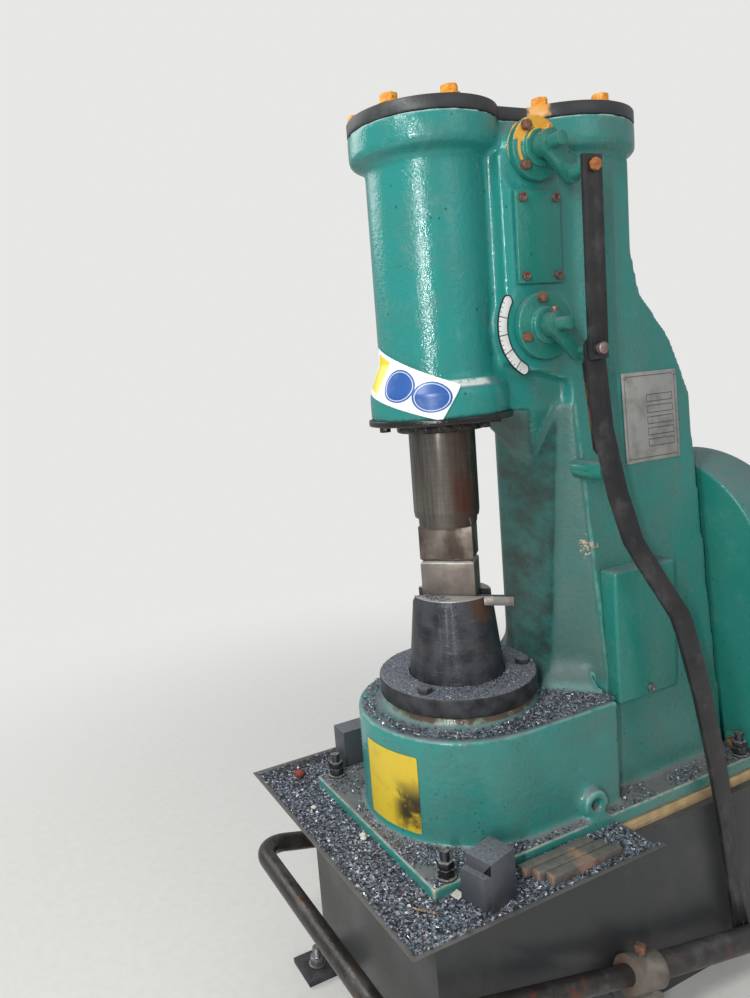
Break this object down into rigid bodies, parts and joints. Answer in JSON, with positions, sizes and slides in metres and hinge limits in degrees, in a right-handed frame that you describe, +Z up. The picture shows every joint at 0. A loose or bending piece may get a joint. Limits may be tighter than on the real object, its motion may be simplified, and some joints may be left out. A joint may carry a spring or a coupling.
{
  "type": "pneumatic power forging hammer",
  "caption": "Self-contained air power hammer: one-piece casting with ram, dies, valve linkage and treadle, on a steel stand with a scale tray.",
  "frame": {"origin": "on the floor, on the underside of the stand straight under the ram's axis", "axes": "+Z up along the ram; the ram side of the machine faces -Y and the valve levers are on the +X side"},
  "size_m": [0.472, 0.7595, 1.196],
  "materials": {
    "black_paint": "worn black paint on steel",
    "dark_steel": "dark oxidised steel",
    "timber": "planed softwood",
    "forge_scale": "loose forge scale",
    "green_paint": "glossy green enamel, dusty",
    "oily_packing": "oily packing",
    "bright_steel": "ground steel, oily",
    "white_plate": "white printed plate",
    "plain_aluminium": "plain plate",
    "rusty_steel": "rusty steel"
  },
  "bodies": {
    "root": {"stand_box": "black_paint", "floor_tabs": "dark_steel", "wood_packing": "timber", "scale_tray": "black_paint", "scale_bed": "forge_scale", "base_casting": "green_paint", "column": "green_paint", "cylinder_block": "green_paint", "top_plate": "black_paint", "gland_ring": "black_paint", "ram_packing": "oily_packing", "clamp_ring": "dark_steel", "sow_block": "dark_steel", "lower_die": "bright_steel", "lower_die_key": "bright_steel", "upper_valve_cover": "green_paint", "lower_valve_cover": "green_paint", "dial_plate": "white_plate", "upper_side_cover": "green_paint", "lower_side_cover": "green_paint", "nameplate": "plain_aluminium", "belt_guard": "green_paint", "guard_bracket": "green_paint", "spring_boss": "green_paint", "return_spring": "rusty_steel", "spare_dies": "dark_steel", "spare_keys": "rusty_steel", "treadle_bearings": "dark_steel"},
    "ram": {"ram": "bright_steel", "upper_die": "bright_steel", "upper_die_key": "bright_steel"},
    "treadle": {"treadle_loop": "black_paint", "treadle_arms": "dark_steel", "treadle_clamps": "dark_steel"},
    "lower_lever": {"lower_valve_lever": "dark_steel"},
    "upper_lever": {"upper_valve_lever": "dark_steel"},
    "upper_link": {"upper_link": "black_paint"},
    "long_link": {"long_link": "black_paint"}
  },
  "joints": [
    {"name": "ram_slide", "type": "slide", "parent": "root", "child": "ram", "axis": [0, 0, 1], "range_m": [0, 0.13]},
    {"name": "treadle_hinge", "type": "hinge", "parent": "root", "child": "treadle", "pos_m": [0, 0.115, 0.06], "axis": [1, 0, 0], "range_deg": [0, 6], "stiffness_Nm_per_rad": 40, "springref_deg": -34.38},
    {"name": "lower_lever_hinge", "type": "hinge", "parent": "root", "child": "lower_lever", "pos_m": [0.1375, 0.1, 0.925], "axis": [1, 0, 0], "range_deg": [0, 36.2], "deforming": ["return_spring"]},
    {"name": "upper_lever_hinge", "type": "hinge", "parent": "root", "child": "upper_lever", "pos_m": [0.1375, 0.1, 1.138], "axis": [1, 0, 0], "range_deg": [0, 36.2]},
    {"name": "upper_link_pivot", "type": "hinge", "parent": "lower_lever", "child": "upper_link", "pos_m": [0.15, 0.132, 0.891], "axis": [1, 0, 0], "range_deg": [-36.2, 0]},
    {"name": "long_link_pivot", "type": "hinge", "parent": "lower_lever", "child": "long_link", "pos_m": [0.15, 0.132, 0.891], "axis": [1, 0, 0], "range_deg": [-37.2, 0]}
  ],
  "couplings": [
    {"joint": "lower_lever_hinge", "follows": "treadle_hinge", "ratio": 6},
    {"joint": "upper_lever_hinge", "follows": "treadle_hinge", "ratio": 6},
    {"joint": "upper_link_pivot", "follows": "treadle_hinge", "ratio": -6},
    {"joint": "long_link_pivot", "follows": "treadle_hinge", "ratio": -6.155}
  ]
}
